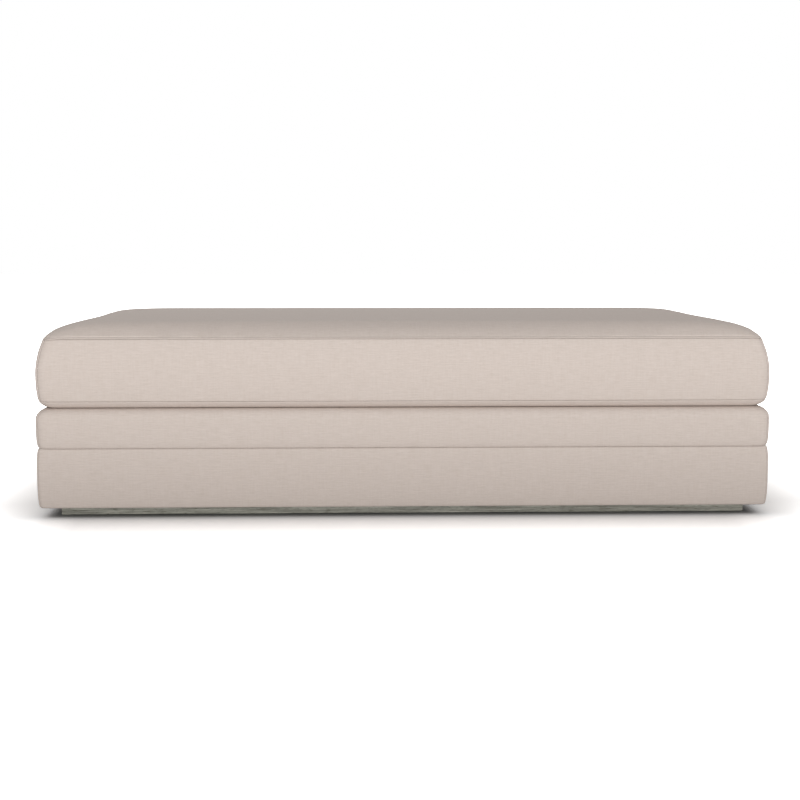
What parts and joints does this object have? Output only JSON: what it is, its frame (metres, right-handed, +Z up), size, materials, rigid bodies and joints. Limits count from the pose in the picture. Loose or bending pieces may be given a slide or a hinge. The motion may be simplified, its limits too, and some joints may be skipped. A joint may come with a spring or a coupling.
{
  "type": "ottoman",
  "caption": "Rectangular upholstered ottoman: a loose box cushion on a padded band and base panel, over a low recessed wooden plinth.",
  "frame": {"origin": "on the floor, under the middle of the plan", "axes": "+X along the width, +Y towards the back, +Z up; the front faces -Y"},
  "size_m": [1.78, 1, 0.4703],
  "materials": {
    "woven_cover": "matte",
    "weathered_oak": "matte",
    "frame_timber": "matte",
    "foam": "matte",
    "wadding": "matte",
    "felt": "matte",
    "lining_cloth": "matte",
    "spring_steel": "satin",
    "zinc_plated_steel": "satin",
    "nylon_glide": "matte",
    "zip_tape": "matte",
    "zip_coil": "satin",
    "zip_metal": "satin"
  },
  "bodies": {
    "base": {"band_cover_front": "woven_cover", "band_cover_left": "woven_cover", "band_cover_rear": "woven_cover", "band_cover_right": "woven_cover", "band_wadding": "wadding", "base_cover_front": "woven_cover", "base_cover_left": "woven_cover", "base_cover_rear": "woven_cover", "base_cover_right": "woven_cover", "base_wadding": "wadding", "board_screws": "zinc_plated_steel", "bottom_board_front": "frame_timber", "bottom_board_left": "frame_timber", "bottom_board_rear": "frame_timber", "bottom_board_right": "frame_timber", "bottom_cross_boards": "frame_timber", "centre_supports": "frame_timber", "corner_posts": "frame_timber", "cover_staples": "zinc_plated_steel", "deck_cloth": "lining_cloth", "deck_pad": "foam", "dust_cover": "lining_cloth", "edge_rolls": "foam", "floor_glides": "nylon_glide", "front_rail": "frame_timber", "front_spring_clips": "zinc_plated_steel", "left_rail": "frame_timber", "plinth_front_board": "weathered_oak", "plinth_left_board": "weathered_oak", "plinth_rear_board": "weathered_oak", "plinth_right_board": "weathered_oak", "plinth_screws": "zinc_plated_steel", "post_screws": "zinc_plated_steel", "rear_rail": "frame_timber", "rear_spring_clips": "zinc_plated_steel", "right_rail": "frame_timber", "sinuous_springs": "spring_steel", "spring_insulator": "felt", "tie_wires": "spring_steel"},
    "cushion": {"boxing_front": "woven_cover", "boxing_left": "woven_cover", "boxing_rear_lower": "woven_cover", "boxing_rear_upper": "woven_cover", "boxing_right": "woven_cover", "cushion_bottom_panel": "woven_cover", "cushion_foam_core": "foam", "cushion_top_panel": "woven_cover", "cushion_wrap_bottom": "wadding", "cushion_wrap_top": "wadding", "zip_coils": "zip_coil", "zip_end_stops": "zip_metal", "zip_tapes": "zip_tape"},
    "zip_slider": {"zip_slider": "zip_metal"},
    "zip_pull": {"zip_pull": "zip_metal"}
  },
  "joints": [
    {"name": "cushion_lift", "type": "slide", "parent": "base", "child": "cushion", "axis": [0, 0, 1], "range_m": [0, 0.3]},
    {"name": "zip_run", "type": "slide", "parent": "cushion", "child": "zip_slider", "axis": [-1, 0, 0], "range_m": [0, 1.415]},
    {"name": "zip_pull_turn", "type": "hinge", "parent": "zip_slider", "child": "zip_pull", "pos_m": [0.7077, 0.4939, 0.35681], "axis": [0, 0, -1], "range_deg": [0, 180]}
  ]
}
